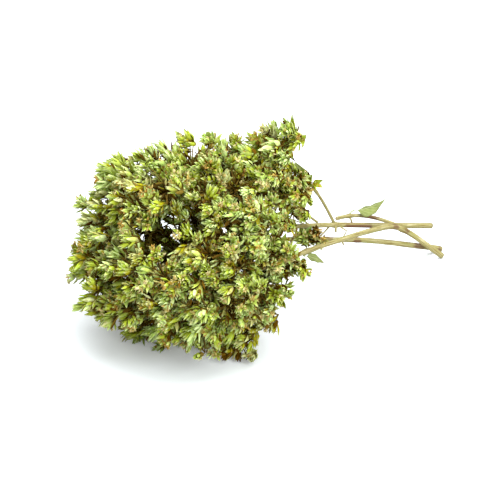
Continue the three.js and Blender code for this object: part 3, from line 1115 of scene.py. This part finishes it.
class OREGANO_OT_stems(bpy.types.Operator):
    """Build the cut stems, the broken shoot and the side branches"""

    bl_idname = "oregano.stems"
    bl_label = "Build the stems"

    def execute(self, context):
        settings = context.scene.oregano_stems
        material = stem_material(context.scene.oregano_colours)
        for node, marks in STEMS.items():
            self.build_stem(node, marks, settings, material)
        return {"FINISHED"}

    def build_stem(self, node, marks, settings, material):
        """One stem: its tube, which swells at the knots, and its dead twigs."""
        points, radii = centreline(node)
        path = smooth_path(points, settings.ring_spacing)
        reached = [0.0]
        for a, b in zip(path, path[1:], strict=False):
            reached.append(reached[-1] + (b - a).length)
        slope, start = np.polyfit(np.linspace(0, reached[-1], len(radii)), radii, 1)
        bm = bmesh.new()
        bm.loops.layers.uv.new("along_stem")
        for name in ("knot", "patch", "pith"):
            bm.verts.layers.float.new(name)
        widths, knots, patches = [], [], []
        for point, place in zip(path, reached, strict=True):
            bulge = 0.0
            for at, swell in marks.knots:
                bulge += swell * math.exp(-(((place - at * MM) / KNOT_LENGTH) ** 2))
            uneven = 1 + 0.035 * noise.noise(point / (9 * MM))
            widths.append((start + slope * place) * settings.girth * uneven * (1 + bulge))
            knots.append(bulge)
            edges = [min(place - a * MM, b * MM - place) for a, b in marks.patches]
            patches.append(max([0.0, *(min(1.0, 0.5 + edge / PATCH_EDGE) for edge in edges)]))
        self.add_tube(bm, path, widths, settings, STEM_SIDES, knots, patches)
        for at, radius, steps in marks.twigs:
            foot = path[min(range(len(path)), key=lambda i: abs(reached[i] - at * MM))]
            twig = smooth_path([foot, *(foot + Vector(step) * MM for step in steps)], settings.ring_spacing)
            sizes = [radius * MM * (1 - 0.25 * k / len(twig)) for k in range(len(twig))]
            browning = [0.4 * k / len(twig) for k in range(len(twig))]
            self.add_tube(bm, twig, sizes, settings, TWIG_SIDES, [0.1] * len(twig), browning)
        keep_above_table(bm)
        new_piece("straw_" + node, bm, material, "stem", node)

    def add_tube(self, bm, path, widths, settings, sides, knots, patches):
        """A piece of stem with a sunken pith at both ends."""
        rings = tube(bm, path, widths, sides, settings.squareness)
        run = settings.ring_spacing / (TURN * widths[0])
        wrap_tube(rings, bm.loops.layers.uv["along_stem"], lambda turn, ring: (turn, ring * run))
        layers = bm.verts.layers.float
        for ring, knot, patch in zip(rings, knots, patches, strict=True):
            for vert in ring:
                vert[layers["knot"]] = knot
                vert[layers["patch"]] = patch
        for face in {face for ring in rings for vert in ring for face in vert.link_faces}:
            face.smooth = len(face.verts) == 4
        for ring in (rings[0], rings[-1]):
            cap = next(face for face in ring[0].link_faces if len(face.verts) == len(ring))
            bmesh.ops.inset_individual(bm, faces=[cap], thickness=widths[0] * 0.3, depth=-widths[0] * 0.2)
            for vert in cap.verts:
                vert[layers["pith"]] = 1.0


class OREGANO_OT_leaves(bpy.types.Operator):
    """Build the few dry leaves that are left on the stems"""

    bl_idname = "oregano.leaves"
    bl_label = "Build the leaves"

    def execute(self, context):
        settings = context.scene.oregano_leaves
        material = leaf_material(context.scene.oregano_colours)
        for seed, (node, (stem, at)) in enumerate(LEAVES.items()):
            line = smooth_path(centreline(stem)[0], 1 * MM)
            self.build_leaf(node, line[min(at, len(line) - 1)], settings, material, seed)
        return {"FINISHED"}

    def build_leaf(self, node, joint, settings, material, seed):
        """One leaf, laid along the longest axis of its CAD solid, with the same fold."""
        solid_bm = merged(node)
        places = np.array([vert.co for vert in solid_bm.verts])
        solid_bm.free()
        middle = places.mean(0)
        axes = np.linalg.svd(places - middle, full_matrices=False)[2]
        along, _, up = (Vector(axis) for axis in axes)
        local = (places - middle) @ axes.T
        # The foot is the narrow end, and the upper side is the one that the edges rise to.
        reach = np.abs(local[:, 0]).max()
        widths = np.abs(local[:, 1])
        if widths[local[:, 0] < -0.7 * reach].max() > widths[local[:, 0] > 0.7 * reach].max():
            along.negate()
        half = widths.max()
        edge = widths > 0.6 * half
        inner = (widths < 0.3 * half) & (np.abs(local[:, 0]) < 0.4 * reach)
        fold = (local[edge, 2].mean() - local[inner, 2].mean()) / half
        if fold < 0:
            up.negate()
            local[:, 2] *= -1
            fold = -fold
        across = up.cross(along)
        length = 2 * reach * settings.size
        half *= settings.size * settings.narrowing
        origin = Vector(middle) + up * local[inner, 2].mean() - along * length * 0.55

        bm = bmesh.new()
        bmesh.ops.create_grid(bm, x_segments=LEAF_FACES[0], y_segments=LEAF_FACES[1], size=0.5)
        layer = bm.loops.layers.uv.new("blade")
        for face in bm.faces:
            face.smooth = True
            for loop in face.loops:
                loop[layer].uv = (loop.vert.co.x + 0.5, loop.vert.co.y + 0.5)
        for vert in bm.verts:
            side, share = vert.co.x * 2, vert.co.y + 0.5
            blade = max(0.0, (share - LEAF_FOOT) / (1 - LEAF_FOOT))
            width = 0.03 * half + half * math.sin(math.pi * blade**0.62) * (1.08 - 0.2 * blade)
            ripple = settings.wave * side * side * math.sin(share * 19 + seed * 2 + 2.5 * side)
            droop = -LEAF_DROOP * half * (2 * share - 1) ** 2
            rise = fold * half * abs(side) ** 1.2 * width / half + ripple * width / half + droop
            vert.co = origin + along * share * length + across * side * width + up * (rise - LEAF_SINK * half)
        bmesh.ops.recalc_face_normals(bm, faces=bm.faces)
        bmesh.ops.solidify(bm, geom=bm.faces, thickness=settings.thickness)
        self.add_petiole(bm, joint, origin - up * (LEAF_DROOP + LEAF_SINK) * half, along, settings)
        new_piece("dry_" + node, bm, material, "leaf", node)

    def add_petiole(self, bm, joint, foot, along, settings):
        """The stalk of a leaf, from its stem to its blade."""
        points = smooth_path([joint, joint.lerp(foot, 0.6), foot, foot + along * MM], 1 * MM)
        rings = tube(bm, points, [settings.petiole_radius] * len(points), PETIOLE_SIDES)
        last, layer = len(rings) - 1, bm.loops.layers.uv["blade"]
        # It gets the colour of the midrib, near the foot of the blade.
        wrap_tube(rings, layer, lambda turn, ring: (0.47 + 0.06 * turn, 0.1 * ring / last))


class OREGANO_OT_flowering_tops(bpy.types.Operator):
    """Build the spikelets, dry flowers and stalks of every flowering top"""

    bl_idname = "oregano.flowering_tops"
    bl_label = "Build the flowering tops"

    def execute(self, context):
        tops = context.scene.oregano_tops
        material = top_material(context.scene.oregano_colours)
        noise.seed_set(NOISE_SEED)
        stamps = spikelet_stamps(tops, random.Random(STAMP_SEED))
        lines = {name: centreline(name)[0] for name in (*CARRIERS.values(), "branch_to_side")}
        nodes = sorted(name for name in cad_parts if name.startswith("top_"))
        corners = np.array([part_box(node) for node in nodes])
        low, high = corners[:, 0].min(0), corners[:, 1].max(0)
        inner = [lines[stem][2 * len(lines[stem]) // 5] for stem in ("stem_a", "stem_b", "stem_c")]
        middles = {node: average([Vector(corner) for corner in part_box(node)]) for node in nodes}
        hollow = [average([middles[node] for node in end]) for end in HOLLOW_ENDS]
        everything = bmesh.new()
        for node in nodes:
            everything.from_mesh(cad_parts[node].data)
        skin = BVHTree.FromBMesh(everything)
        everything.free()
        mass = Mass(Vector((low + high) / 2), (high - low) / 2, average(inner), skin, hollow)
        for seed, node in enumerate(nodes):
            family = node.removeprefix("top_").rstrip("0123456789")
            line = lines[LONE_TOPS.get(node) or CARRIERS[family]]
            bm = FloweringTop(node, line, tops, stamps, mass, seed).build()
            new_piece(node.replace("top_", "spikelets_"), bm, material, "flowering_top", node)
        for mesh in [mesh for mesh in bpy.data.meshes if mesh.users == 0]:
            bpy.data.meshes.remove(mesh)
        return {"FINISHED"}


class OREGANO_OT_stage(bpy.types.Operator):
    """Set up the floor, the lamps, the sky and the camera"""

    bl_idname = "oregano.stage"
    bl_label = "Set up the stage"

    def execute(self, context):
        stage = context.scene.oregano_stage
        right = Vector((math.cos(stage.azimuth), math.sin(stage.azimuth), 0))
        away = Vector((-math.sin(stage.azimuth), math.cos(stage.azimuth), 0))
        aim = average(CAD_BOX) + VIEW_SHIFT
        self.make_floor(stage)
        self.make_camera(context, stage, away, aim)
        for name, power, size, far, (aside, near, high) in (
            ("key", stage.key_power, stage.key_size, stage.key_size, KEY_WAY),
            ("fill", stage.fill_power, stage.fill_size, FILL_DISTANCE, FILL_WAY),
        ):
            way = (right * aside - away * near + Vector((0, 0, high))).normalized()
            self.make_lamp(name, power, aim + way * far, aim, size)
        self.make_sky(context, stage.sky)
        context.scene.view_settings.view_transform = "Standard"
        return {"FINISHED"}

    def make_floor(self, stage):
        """A white table that throws less light back up than the view of it has, and hides its far edge."""
        bm = bmesh.new()
        bmesh.ops.create_grid(bm, x_segments=1, y_segments=1, size=TABLE_SIZE)
        floor = placed("floor", as_mesh(bm, "floor"))
        n = Nodes("white_table", roughness=0.9, specular=0.0)
        seen = n.add("LightPath").outputs["Is Camera Ray"]
        n.finish(n.mix(seen, stage.floor, stage.floor_seen))
        glow = n.add("Emission", {"Color": (1, 1, 1, 1), "Strength": stage.floor_glow})
        both = n.add("AddShader", {0: n.surface.outputs[0], 1: glow.outputs[0]})
        shown = n.add("MixShader", {0: seen, 1: n.surface.outputs[0], 2: both.outputs[0]})
        n.tree.links.new(shown.outputs[0], n.tree.nodes["Material Output"].inputs["Surface"])
        floor.data.materials.append(n.material)
        floor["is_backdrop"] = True

    def make_camera(self, context, stage, away, aim):
        data = bpy.data.cameras.new("camera")
        data.lens = stage.focal_length
        distance = stage.frame_width * data.lens / data.sensor_width
        back = -away * math.cos(stage.elevation) + Vector((0, 0, math.sin(stage.elevation)))
        camera = placed("camera", data)
        camera.location = aim + back * distance
        camera.rotation_euler = (-back).to_track_quat("-Z", "Y").to_euler()
        context.scene.camera = camera

    def make_lamp(self, name, power, place, aim, size):
        data = bpy.data.lights.new(name, "AREA")
        data.energy = power
        data.size = size
        lamp = placed(name, data)
        lamp.location = place
        lamp.rotation_euler = (aim - place).to_track_quat("-Z", "Y").to_euler()

    def make_sky(self, context, strength):
        """A white sky that is brighter to the camera, and in gloss and glass, than to the bunch."""
        world = bpy.data.worlds.new("sky")
        world.use_nodes = True
        tree = world.node_tree
        background = tree.nodes["Background"]
        background.inputs["Color"].default_value = (1, 1, 1, 1)
        rays = tree.nodes.new("ShaderNodeLightPath")
        seen = rays.outputs["Is Camera Ray"]
        for other in ("Is Glossy Ray", "Is Transmission Ray"):
            either = tree.nodes.new("ShaderNodeMath")
            either.operation = "MAXIMUM"
            tree.links.new(seen, either.inputs[0])
            tree.links.new(rays.outputs[other], either.inputs[1])
            seen = either.outputs[0]
        level = tree.nodes.new("ShaderNodeMapRange")
        level.inputs["To Min"].default_value = strength
        level.inputs["To Max"].default_value = 1.0
        tree.links.new(seen, level.inputs["Value"])
        tree.links.new(level.outputs["Result"], background.inputs["Strength"])
        context.scene.world = world


class OREGANO_PT_bunch(bpy.types.Panel):
    """The settings and the build steps of the bunch"""

    bl_label = "Dried oregano bunch"
    bl_space_type = "VIEW_3D"
    bl_region_type = "UI"
    bl_category = "Oregano"

    def draw(self, context):
        for heading, (group, _, operator) in STEPS.items():
            box = self.layout.box()
            box.label(text=heading)
            settings = getattr(context.scene, group)
            for name in settings.bl_rna.properties.keys():
                if name not in {"rna_type", "name"}:
                    box.prop(settings, name)
            if operator:
                box.operator(operator)


# For each step: where its settings are on the scene, what they are, and what builds it.
STEPS = {
    "Colours": ("oregano_colours", ColourSettings, None),
    "Stems": ("oregano_stems", StemSettings, "oregano.stems"),
    "Leaves": ("oregano_leaves", LeafSettings, "oregano.leaves"),
    "Flowering tops": ("oregano_tops", TopSettings, "oregano.flowering_tops"),
    "Stage": ("oregano_stage", StageSettings, "oregano.stage"),
}
SETTINGS = {group: kind for group, kind, _ in STEPS.values()}
OPERATORS = (OREGANO_OT_stems, OREGANO_OT_leaves, OREGANO_OT_flowering_tops, OREGANO_OT_stage)


def register():
    for cls in (*SETTINGS.values(), *OPERATORS, OREGANO_PT_bunch):
        bpy.utils.register_class(cls)
    for name, cls in SETTINGS.items():
        setattr(bpy.types.Scene, name, PointerProperty(type=cls))


def unregister():
    for name in SETTINGS:
        delattr(bpy.types.Scene, name)
    for cls in (OREGANO_PT_bunch, *OPERATORS, *SETTINGS.values()):
        bpy.utils.unregister_class(cls)


def main():
    register()
    bpy.ops.oregano.stems()
    bpy.ops.oregano.leaves()
    bpy.ops.oregano.flowering_tops()
    bpy.ops.oregano.stage()
    sizes = {"cad": CAD_BOX, "visual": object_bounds()}
    {name: [list(corner) for corner in box] for name, box in sizes.items()}


if __name__ == "__main__":
    main()
